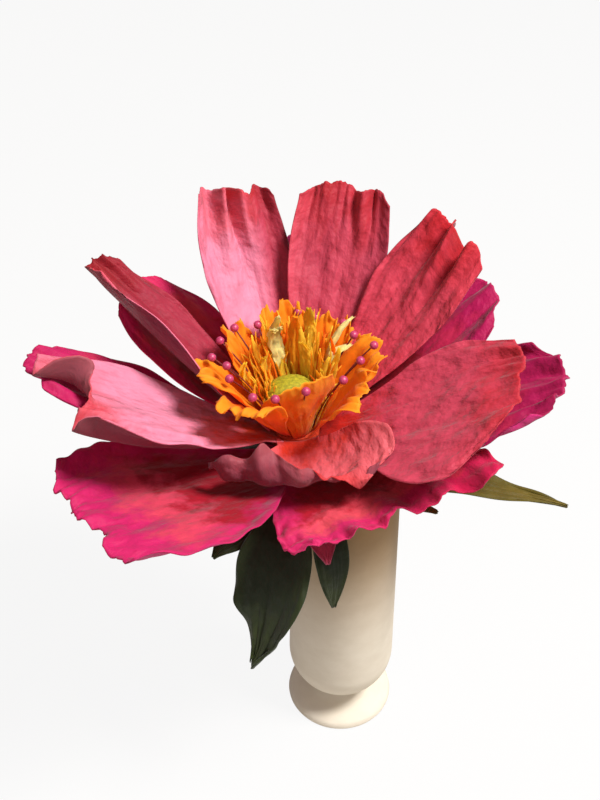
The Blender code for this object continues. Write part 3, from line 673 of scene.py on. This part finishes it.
def crepe(name, stops, edge, streak, fineness=1.0, light_through=0.28, edge_share=0.5,
          streak_share=0.5, bump=1.0, dye_share=1.0):
    """Crepe paper, dyed and then stretched over the thumb.

    It is matte with a faint sheen, crumpled in spots some 5 mm wide and lined by the crepe's
    own grain. The dye pools into blotches and into streaks near the end, and light glows
    through the thin sheet.
    """
    material, tree = new_material(name)
    paper = add(tree, "UVMap", uv_map="Paper")
    share, rim, dye = (
        add(tree, "Attribute", attribute_name=key).outputs[kind]
        for key, kind in (("share", "Fac"), ("edge", "Fac"), ("dye", "Color"))
    )
    grain = bpy.context.scene.peony_sizes.grain / MM * fineness
    # Each kind of spot with its width and length on the paper in millimetres. The grain is drawn
    # about twice as coarse as the real crepe's, so that it shows.
    spots = {}
    for use, width, length, detail, rough in (
        ("grain", grain, grain * 4, 2, 0.5), ("crumple", 4.4, 6.5, 3, 0.5),
        ("swell", 13, 22, 2, 0.5), ("blotch", 10, 13, 4, 0.6), ("streak", 2.6, 12, 4, 0.6),
    ):
        scale = (PAPER_UNIT / width, PAPER_UNIT / length, 1)
        laid = add(tree, "Mapping", {"Vector": paper, "Scale": scale})
        spots[use] = add(
            tree, "TexNoise",
            {"Vector": laid, "Scale": 1.0, "Detail": detail, "Roughness": rough}, noise_dimensions="2D",
        )
    drift = add(tree, "Math", {0: spots["blotch"], 1: 0.5}, operation="SUBTRACT")
    place = add(tree, "Math", {0: drift, 1: 0.45, 2: share}, operation="MULTIPLY_ADD")
    colour = add(tree, "ValToRGB", {"Fac": place}, stops)
    near = add(tree, "Math", {0: drift, 1: 0.8, 2: rim}, operation="MULTIPLY_ADD")
    rimmed = add(
        tree, "MapRange", {0: near, 1: 0.55, 2: 0.98, 4: edge_share}, interpolation_type="SMOOTHSTEP",
    )
    ends = add(tree, "MapRange", {0: share, 1: 0.4, 2: 1.0, 4: streak_share})
    streaked = add(tree, "MapRange", {0: spots["streak"], 1: 0.52, 2: 0.74, 4: ends})
    # The spot's dye multiplies in last; on some petals it carries painted shade and highlights.
    for blend, factor, layer in (
        ("MIX", rimmed, tone(edge)), ("MIX", streaked, tone(streak)), ("MULTIPLY", dye_share, dye),
    ):
        colour = add(
            tree, "Mix", {0: factor, 6: colour, 7: layer}, data_type="RGBA", blend_type=blend,
        ).outputs[2]
    # The crinkles' height also lightens the colour on their tops and darkens it in their hollows: painted
    # light and shade on the relief.
    height = add(tree, "Math", {0: spots["grain"], 1: spots["crumple"]}, operation="ADD")
    value = add(tree, "Math", {0: height, 1: 0.13, 2: 0.87}, operation="MULTIPLY_ADD")
    colour = add(tree, "HueSaturation", {"Value": value, "Color": colour})
    relief = {}
    for use, strength, depth in (
        ("swell", 0.7, 4 * MM), ("crumple", 0.7, 1.2 * MM), ("grain", 0.5, 0.2 * MM),
    ):
        relief = {"Normal": add(
            tree, "Bump",
            {"Strength": strength * bump, "Distance": depth, "Height": spots[use], **relief},
        )}
    face = add(
        tree, "BsdfPrincipled",
        {"Base Color": colour, "Roughness": 0.62, "IOR": 1.45, "Specular IOR Level": 0.35,
         "Sheen Weight": 0.12, "Sheen Roughness": 0.5, **relief},
    )
    glow = add(tree, "BsdfTranslucent", {"Color": colour, **relief})
    both = add(tree, "MixShader", {0: light_through, 1: face, 2: glow})
    add(tree, "OutputMaterial", {"Surface": both})
    return material


def coated(name, colour, second, spots, roughness, bump, stretch=(1, 1, 1), painted_shadow=None, **settings):
    """A plain surface on Object coordinates: two near colours in spots of a size, and a fine relief.

    A painted shadow, if given, darkens it upwards: from which height, to which height, and to what colour.
    """
    material, tree = new_material(name)
    place = add(tree, "TexCoord").outputs["Object"]
    turned = add(tree, "Mapping", {"Vector": place, "Scale": stretch})
    spot = add(tree, "TexNoise", {"Vector": turned, "Scale": 1 / spots, "Detail": 5.0, "Roughness": 0.6})
    shade = add(tree, "ValToRGB", {"Fac": spot}, [(0.36, second), (0.64, colour)])
    # Painted shadow: the colour darkens towards the given one as the height rises.
    if painted_shadow:
        low, high, shadow_colour = painted_shadow
        height = add(tree, "SeparateXYZ", {0: place}).outputs["Z"]
        rise = add(tree, "MapRange", {0: height, 1: low, 2: high}, interpolation_type="SMOOTHSTEP")
        shade = add(
            tree, "Mix", {0: rise, 6: shade, 7: tone(shadow_colour)}, data_type="RGBA", blend_type="MULTIPLY",
        ).outputs[2]
    relief = add(tree, "Bump", {"Strength": 0.6, "Distance": bump, "Height": spot})
    shader = add(
        tree, "BsdfPrincipled",
        {"Base Color": shade, "Roughness": roughness, "Normal": relief, **settings},
    )
    add(tree, "OutputMaterial", {"Surface": shader})
    return material


class PEONY_OT_petals(bpy.types.Operator):
    """The two whorls of large petals"""

    bl_idname = "peony.petals"
    bl_label = "Petals"

    def execute(self, context):
        sizes = context.scene.peony_sizes
        # Pink crepe, brushed with orange at the foot and coral at the end: it glows with light
        # behind it, and dark streaks of dye run towards its tip.
        inner = crepe(
            "crepe_inner_petal",
            [(0.14, "inner_base"), (0.36, "inner_pink"), (0.72, "inner_pink"), (1.0, "inner_tip")],
            "inner_pink", "inner_streak", light_through=0.32, streak_share=0.6, bump=1.4,
        )
        # Its unbrushed back, a dusky rose that looks flat and dull beside the face, darkened further with
        # painted shade, as the backs that show face away from the lamp.
        inner_under = crepe(
            "crepe_inner_petal_back", [(0.7, "inner_under"), (1.0, "#9C4A54")], "inner_under",
            "inner_streak", light_through=0.14, streak_share=0.25, dye_share=0.3,
        )
        # Crimson crepe, faded to coral and then dyed magenta along its edge, which shines pink.
        outer = crepe(
            "crepe_outer_petal",
            [(0.5, "outer_base"), (0.62, "outer_coral"), (0.7, "outer_coral"), (0.84, "outer_magenta")],
            "outer_magenta", "outer_base", light_through=0.32, edge_share=0.9,
            streak_share=0.2,
        )
        # The same crepe from behind, where the magenta has soaked through evenly.
        outer_under = crepe(
            "crepe_outer_petal_back", [(0.0, "outer_under"), (1.0, "outer_magenta")],
            "outer_magenta", "outer_base", streak_share=0.25, dye_share=0.3,
        )
        # The least half width in millimetres at the foot is last.
        for petals, papers, slot, gather in (
            (INNER_PETALS, [inner, inner_under], "petal_inner", 9),
            (OUTER_PETALS, [outer, outer_under], "petal_outer", 7),
        ):
            for petal in petals:
                sheet = replace(petal, name=slot + "_" + petal.name, gather=gather)
                place = seat(head_frame(), sheet, PETAL_FOOT_RADIUS, 0)
                add_sheet(sheet, place, sizes.petal_paper, 64, 84, papers)
        return {"FINISHED"}


class PEONY_OT_petaloids(bpy.types.Operator):
    """The cup of small orange petals round the centre"""

    bl_idname = "peony.petaloids"
    bl_label = "Petaloids"

    def execute(self, context):
        sizes = context.scene.peony_sizes
        # One layer of orange crepe, so thin that light shows through it; its brighter torn rim is a painted
        # glow of the light behind it.
        orange = crepe(
            "crepe_petaloid",
            [(0.0, "petaloid_base"), (0.3, "petaloid"), (0.82, "petaloid"), (0.95, "petaloid_rim")],
            "petaloid_rim", "petaloid_base", 0.8, light_through=0.5, streak_share=0.2,
            bump=0.6,
        )
        for sheet in PETALOIDS:
            place = seat(head_frame(), sheet, PETALOID_RADIUS, PETALOID_HEIGHT)
            add_sheet(sheet, place, sizes.centre_paper, 36, 36, [orange])
        return {"FINISHED"}


def add_strip(grid, path, widths, twist, dye, seed, columns=2):
    """A narrow cutting along a path of points and directions, creased down its middle."""
    rows = len(path) - 1

    def spot_at(u, share):
        point, forward, sideways, out = path[round(share * rows)]
        turn = twist * share * share
        across = sideways * math.cos(turn) + out * math.sin(turn)
        face = across.cross(forward)
        half = along(widths, share) * MM * (1 + 0.55 * ripple(share * 11, seed, u * 3))
        crumple = ripple(u * 2.5, share * 14, seed) * 0.6 + 0.25 * (abs(u) - 0.5)
        notch = half * ripple(u * 3.5, seed, 2) * 1.6 * smooth(0.8, 1.0, share)
        flat = (u * half / MM / PAPER_UNIT + seed, share * rows * STRIP_ROW / PAPER_UNIT)
        return point + across * u * half + face * half * crumple + forward * notch, flat, dye

    lay(grid, columns, rows, spot_at)


def strip_path(place, azimuth, radius, base, slope, length, bend, curl, lean, rows):
    """Points that rise from a ring, bend inwards or outwards and curl over at the end."""
    out = Vector((math.cos(azimuth), math.sin(azimuth), 0.0))
    sideways = Vector((-math.sin(azimuth), math.cos(azimuth), 0.0))
    point = out * radius + Vector((0, 0, base))
    turned = place.to_3x3()
    path = []
    for index in range(rows + 1):
        share = index / rows
        angle = math.radians(slope + bend * share) + math.radians(curl) * smooth(0.62, 1.0, share)
        forward = out * math.cos(angle) + Vector((0, 0, math.sin(angle))) + sideways * lean * share
        forward.normalize()
        over = forward.cross(sideways).normalized()
        path.append((place @ point, *(turned @ way for way in (forward, sideways, over))))
        point = point + forward * length / rows
    return path


class PEONY_OT_stamens(bpy.types.Operator):
    """The cut fringe: golden strips of two lengths and some broad pale ones"""

    bl_idname = "peony.stamens"
    bl_label = "Stamens"

    def execute(self, context):
        sizes = context.scene.peony_sizes
        # Fine crepe that takes its colour from each strip's dye: it is warm at the foot, and the
        # light through it makes the ends glow.
        paper = crepe(
            "crepe_stamen", [(0.0, "#FFC060"), (0.3, "#FFFFFF")], "#FFFFFF", "#FFE8A0",
            0.5, light_through=0.6, edge_share=0.3, streak_share=0.2, bump=0.3,
        )
        place = head_frame()
        tones = ("gold", "lemon", "orange", "mustard")
        # The lengths at the front and the back are in millimetres, as is the ring's radius.
        for name, node, radius, count, slope, front, back, seed in (
            ("stamens_outer", "fringe_outer", 9.2, 210, 64, 15, 43, 11),
            ("stamens_inner", "fringe_inner", 8.6, 180, 70, 15, 38, 5),
        ):
            chance = random.Random(seed)
            grid = blank_paper()
            for index in range(count):
                azimuth = 2 * math.pi * (index + chance.uniform(-0.3, 0.3)) / count
                backness = (1 + math.sin(azimuth)) / 2
                length = (front + (back - front) * backness) * chance.uniform(0.62, 1.08)
                widths = (0.5, 0.6, 1.3, 1.7, 0.5) if index % 5 == 0 else (0.4, 0.4, 0.5, 0.5, 0.2)
                ring = radius * MM * chance.uniform(0.8, 1.0) * (0.85 + 0.2 * backness)
                rise = slope + chance.uniform(-7, 8) + (1 - backness) * 14
                path = strip_path(
                    place, azimuth, ring, CENTRE_HEIGHT, rise, length * MM, chance.uniform(-4, 12),
                    chance.uniform(-40, 40), chance.uniform(-0.3, 0.3), 12,
                )
                dye = tone("stamen_" + tones[chance.choice((0, 0, 0, 1, 1, 1, 2, 2, 3))])
                add_strip(grid, path, widths, chance.uniform(-0.8, 0.8), dye, index * 3.1)
            for azimuth, length, rise, curl, half, lean, dye in FEATHERS[seed % 2::2]:
                widths = (0.5, 0.6, 0.9, half * 0.8, half, half, half * 0.5)
                path = strip_path(
                    place, math.radians(azimuth), radius * MM, CENTRE_HEIGHT, rise, length * MM, 4,
                    curl, lean, 30,
                )
                turn = chance.uniform(-0.6, 0.6)
                add_strip(grid, path, widths, turn, tone("stamen_" + dye), azimuth * 0.7, 8)
            thicken(finish(name, grid, [paper], [node]), STAMEN_PAPER)
        return {"FINISHED"}


class PEONY_OT_seed_head(bpy.types.Operator):
    """The green seed head in the middle"""

    bl_idname = "peony.seed_head"
    bl_label = "Seed head"

    def execute(self, context):
        # Crepe pulled over a ball: it is gathered into fine upright lines that catch the lamp.
        green = coated(
            "crepe_over_foam_ball", "seed_green", "#7E7A0C", 1.4 * MM, 0.7, 0.5 * MM, (1, 1, 0.2),
        )
        dome = bmesh.new()
        bmesh.ops.create_uvsphere(dome, u_segments=72, v_segments=36, radius=1.0)
        place = head_frame()
        widest = SEED_HEAD_RADIUS * 1.46
        middle = CENTRE_HEIGHT + SEED_HEAD_HEIGHT - SEED_HEAD_HEIGHT * 0.36
        for vertex in dome.verts:
            angle = math.atan2(vertex.co.y, vertex.co.x)
            rib = 1 + 0.05 * abs(math.cos(2.5 * angle)) + 0.015 * math.cos(26 * angle)
            x = vertex.co.x * widest * rib - 1.5 * MM
            y = vertex.co.y * widest * rib
            crown = SEED_HEAD_HEIGHT * (0.34 if vertex.co.z > 0 else 0.6)
            vertex.co = place @ Vector((x, y, middle + vertex.co.z * crown))
        finish("seed_head_dome", dome, [green], ["seed_head"])
        return {"FINISHED"}


class PEONY_OT_beads(bpy.types.Operator):
    """The round beads on bent wires"""

    bl_idname = "peony.beads"
    bl_label = "Beaded wires"

    def execute(self, context):
        sizes = context.scene.peony_sizes
        # Wooden beads dipped in paint, with a soft highlight and a slightly uneven coat.
        rose = coated("painted_wooden_bead", "bead", "#A02C56", 0.8 * MM, 0.38, 0.03 * MM)
        # Wire wound with thin paper: dull, dark red, with no glint of metal.
        red = coated("paper_wrapped_wire", "wire", "#5C1410", 0.6 * MM, 0.6, 0.05 * MM)
        place = head_frame()
        for number, (azimuth, distance) in enumerate(BEADS, start=1):
            angle = math.radians(azimuth)
            out = Vector((math.cos(angle), math.sin(angle), 0.0))
            foot = out * WIRE_RING + Vector((0, 0, CENTRE_HEIGHT))
            centre = out * distance * MM + Vector((0, 0, BEAD_HEIGHT))
            bend = WIRE_RING + (distance * MM - WIRE_RING) * 0.42
            knee = out * bend + Vector((0, 0, BEAD_HEIGHT * 0.64))
            curve = bpy.data.curves.new("wire_path", "CURVE")
            curve.dimensions = "3D"
            curve.bevel_depth = sizes.wire_radius
            curve.bevel_resolution = 2
            curve.use_fill_caps = True
            spline = curve.splines.new("POLY")
            spline.points.add(WIRE_STEPS)
            for index, point in enumerate(spline.points):
                t = index / WIRE_STEPS
                spot = place @ (foot * (1 - t) ** 2 + knee * 2 * t * (1 - t) + centre * t * t)
                point.co = (spot.x, spot.y, spot.z, 1.0)
            carrier = bpy.data.objects.new("wire_path", curve)
            wire = bpy.data.meshes.new_from_object(carrier)
            bead = bmesh.new()
            bead.from_mesh(wire)
            bpy.data.batch_remove([carrier, curve, wire])
            for face in bead.faces:
                face.material_index = 1
            ball = bmesh.ops.create_uvsphere(
                bead, u_segments=24, v_segments=16, radius=sizes.bead_radius,
                matrix=Matrix.Translation(place @ centre),
            )
            for vertex in ball["verts"]:
                for face in vertex.link_faces:
                    face.material_index = 0
            finish("beaded_wire_%d" % number, bead, [rose, red], ["bead_%d" % number])
        return {"FINISHED"}


class PEONY_OT_leaves(bpy.types.Operator):
    """The leaves and the sepals under the flower"""

    bl_idname = "peony.leaves"
    bl_label = "Leaves and sepals"

    def execute(self, context):
        sizes = context.scene.peony_sizes
        # Dark green crepe glued double over a wire, darkened further with painted shade under the flower:
        # almost no light comes through.
        dark = crepe(
            "crepe_dark_leaf", [(0.7, "leaf_dark"), (1.0, "#3A4416")], "#303C12", "#161D08",
            light_through=0.08, bump=0.8,
        )
        # Olive crepe of one layer: yellower towards the tip as a painted glow where the lamp shines
        # through.
        light = crepe(
            "crepe_light_leaf", [(0.0, "#3C4010"), (0.5, "leaf_light"), (1.0, "#6E5C10")], "#5A540E",
            "#302E08", light_through=0.2, bump=0.8,
        )
        # Offcuts of petal crepe, darker towards the foot as painted shade, so they sit back under the
        # petals.
        pink = crepe(
            "crepe_pink_sepal", [(0.0, "#7A3040"), (0.6, "#B84860"), (1.0, "#C8506A")], "#A03C58",
            "#802840", light_through=0.15,
        )
        for leaves, paper, slot in ((DARK_LEAVES, dark, "leaf"), (LIGHT_LEAVES, light, "leaf_light")):
            for height, sheet in leaves:
                stalk = Matrix.Translation(stem_point(VASE_HEIGHT + height * MM))
                place = seat(stalk, sheet, STEM_RADIUS * 1.02 + GAP, 0)
                add_sheet(sheet, place, sizes.leaf_paper, 32, 80, [paper])
        for sheets, paper, slot in ((SEPALS, dark, "sepal"), ([PINK_SEPAL], pink, "sepal_pink")):
            for sheet in sheets:
                place = seat(head_frame(), sheet, SEPAL_FOOT_RADIUS, 0)
                add_sheet(sheet, place, sizes.leaf_paper, 24, 40, [paper])
        return {"FINISHED"}


class PEONY_OT_stem(bpy.types.Operator):
    """The taped stem and the bud that carries the petals"""

    bl_idname = "peony.stem"
    bl_label = "Stem"

    def execute(self, context):
        # Waxed paper tape wound up the wire: matte, with darker bands where the turns overlap.
        tape = coated("floral_paper_tape", "#4E6420", "#38501A", 3 * MM, 0.72, 0.2 * MM, (1, 1, 2.5))
        # Orange red crepe gathered and glued at the bud: it closes the chinks between the petals.
        base = coated("crepe_round_the_bud", "#D8481E", "#B83414", 2 * MM, 0.7, 0.2 * MM)
        for node in ("stem", "bud"):
            solid = frame["nodes"][node]
            solid.data.materials.clear()
            for paper in (tape, base):
                solid.data.materials.append(paper)
            for face in solid.data.polygons:
                high = (solid.matrix_world @ face.center).z > HEAD.z - BUD_PAPER_DEPTH
                face.material_index = 1 if high and node == "bud" else 0
        collar = bmesh.new()
        bmesh.ops.create_circle(
            collar, cap_ends=True, segments=48, radius=COLLAR_RADIUS,
            matrix=head_frame() @ Matrix.Translation((0, 0, COLLAR_HEIGHT)),
        )
        finish("gathered_collar", collar, [base], [])
        return {"FINISHED"}


def arc(centre_z, radius, start, end, steps, centre_r=0.0):
    """Points of an outline, as radius and height, between two angles in degrees."""
    points = []
    for index in range(steps + 1):
        angle = math.radians(start + (end - start) * index / steps)
        points.append((centre_r + radius * math.cos(angle), centre_z + radius * math.sin(angle)))
    return points


class PEONY_OT_vase(bpy.types.Operator):
    """The round-bottomed vase on its disc foot"""

    bl_idname = "peony.vase"
    bl_label = "Vase"

    def execute(self, context):
        # Unglazed white clay, rubbed smooth: chalky, with faint cloudy patches, and darkened to a warm tan
        # towards the mouth by a painted shadow of the flower above.
        clay = coated(
            "unglazed_white_clay", "vase", "#DCD1BE", 12 * MM, 0.72, 0.05 * MM, (1, 1, 1.4),
            (FLOWER_SHADOW_LOW, FLOWER_SHADOW_HIGH, "#B89A70"), **{"Specular IOR Level": 0.3},
        )
        bowl = WAIST_HEIGHT + BODY_RADIUS
        waist = -math.degrees(math.acos(WAIST_RADIUS / BODY_RADIUS))
        outline = [(0.0, 0.0), (FOOT_RADIUS - 1 * MM, 0.0)]
        outline += arc(1 * MM, 1 * MM, -90, 0, 5, FOOT_RADIUS - 1 * MM)
        # The foot's top: share of its radius, then millimetres inwards and above its height.
        outline += [
            (FOOT_RADIUS * share - inset * MM, FOOT_HEIGHT + lift * MM)
            for share, inset, lift in (
                (1, 0.4, -2.2), (1, 1.5, -1), (0.8, 0, 0.2), (0.6, 0, 1), (0.46, 0, 2.6),
            )
        ]
        outline.append((WAIST_RADIUS, WAIST_HEIGHT - 1 * MM))
        outline += arc(bowl, BODY_RADIUS, waist, 0, 24)
        outline += arc(VASE_HEIGHT - VASE_WALL / 2, VASE_WALL / 2, 0, 180, 10, MOUTH_RADIUS - VASE_WALL / 2)
        outline += arc(bowl, BODY_RADIUS - VASE_WALL, 0, -90, 24)
        outline[-1] = (0.0, outline[-1][1])
        turned = bmesh.new()
        points = [turned.verts.new((radius, 0.0, height)) for radius, height in outline]
        for first, second in zip(points, points[1:]):
            turned.edges.new((first, second))
        bmesh.ops.spin(
            turned, geom=list(turned.verts) + list(turned.edges), cent=(0, 0, 0), axis=(0, 0, 1),
            dvec=(0, 0, 0), angle=2 * math.pi, steps=128, use_merge=True, use_duplicate=False,
        )
        bmesh.ops.remove_doubles(turned, verts=list(turned.verts), dist=0.00001)
        bmesh.ops.recalc_face_normals(turned, faces=list(turned.faces))
        finish("turned_vase", turned, [clay], ["vase"])
        return {"FINISHED"}


class PEONY_OT_stage(bpy.types.Operator):
    """The pale floor, the studio lamps and the camera at the photograph's angle"""

    bl_idname = "peony.stage"
    bl_label = "Stage"

    def execute(self, context):
        scene = context.scene
        scene.view_settings.view_transform = "Standard"

        # A sheet of matte white card: it looks white itself but still bounces light and holds a shadow.
        material, tree = new_material("pale_floor")
        rays = add(tree, "LightPath").outputs
        seen = rays["Is Camera Ray"]
        for ray in ("Is Glossy Ray", "Is Transmission Ray"):
            seen = add(tree, "Math", {0: seen, 1: rays[ray]}, operation="MAXIMUM")
        part = add(tree, "Math", {0: seen, 1: FLOOR_WHITENESS}, operation="MULTIPLY")
        matte = add(tree, "BsdfDiffuse", {"Color": tone("#CFCBC4")})
        white = add(tree, "Emission", {"Color": tone("#FFFFFF"), "Strength": 1.0})
        both = add(tree, "MixShader", {0: part, 1: matte, 2: white})
        add(tree, "OutputMaterial", {"Surface": both})
        plane = bmesh.new()
        bmesh.ops.create_grid(plane, x_segments=1, y_segments=1, size=FLOOR_SIZE)
        floor = formed("floor", plane, [material])

        # Soft light from all round, and pure white where the camera sees past the floor.
        world = bpy.data.worlds.new("studio")
        scene.world = world
        world.use_nodes = True
        tree = world.node_tree
        tree.nodes.clear()
        rays = add(tree, "LightPath").outputs
        soft, white = (
            add(tree, "Background", {"Color": tone(code), "Strength": strength})
            for code, strength in (("#FFF4F0", ROOM_LIGHT), ("#FFFFFF", 1.0))
        )
        both = add(tree, "MixShader", {0: rays["Is Camera Ray"], 1: soft, 2: white})
        add(tree, "OutputWorld", {"Surface": both})

        for name, spot, size, power in LAMPS:
            data = bpy.data.lights.new(name, "AREA")
            data.size = size
            data.energy = power
            lamp = placed(name, data)
            lamp.location = spot
            lamp.rotation_euler = (LIT_POINT - Vector(spot)).to_track_quat("-Z", "Y").to_euler()

        data = bpy.data.cameras.new("camera")
        data.sensor_width = SENSOR_WIDTH
        data.lens = LENS
        camera = placed("camera", data)
        camera.location = EYE
        camera.rotation_euler = (math.radians(90 - EYE_PITCH), 0.0, 0.0)
        scene.camera = camera
        return {"FINISHED"}


class PEONY_PT_panel(bpy.types.Panel):
    """The peony's pieces, sizes and colours"""

    bl_idname = "PEONY_PT_panel"
    bl_label = "Crepe paper peony"
    bl_space_type = "VIEW_3D"
    bl_region_type = "UI"
    bl_category = "Peony"

    def draw(self, context):
        for operator in OPERATORS:
            self.layout.operator(operator.bl_idname)
        for group in (context.scene.peony_sizes, context.scene.peony_colours):
            column = self.layout.column()
            for key in type(group).__annotations__:
                column.prop(group, key)


OPERATORS = (
    PEONY_OT_petals, PEONY_OT_petaloids, PEONY_OT_stamens, PEONY_OT_seed_head, PEONY_OT_beads,
    PEONY_OT_leaves, PEONY_OT_stem, PEONY_OT_vase, PEONY_OT_stage,
)
CLASSES = (PeonySizes, PeonyColours) + OPERATORS + (PEONY_PT_panel,)


def register():
    for item in CLASSES:
        bpy.utils.register_class(item)
    bpy.types.Scene.peony_sizes = bpy.props.PointerProperty(type=PeonySizes)
    bpy.types.Scene.peony_colours = bpy.props.PointerProperty(type=PeonyColours)


def unregister():
    del bpy.types.Scene.peony_colours
    del bpy.types.Scene.peony_sizes
    for item in reversed(CLASSES):
        bpy.utils.unregister_class(item)


def main():
    register()
    for operator in OPERATORS:
        group, name = operator.bl_idname.split(".")
        getattr(getattr(bpy.ops, group), name)()


if __name__ == "__main__":
    main()
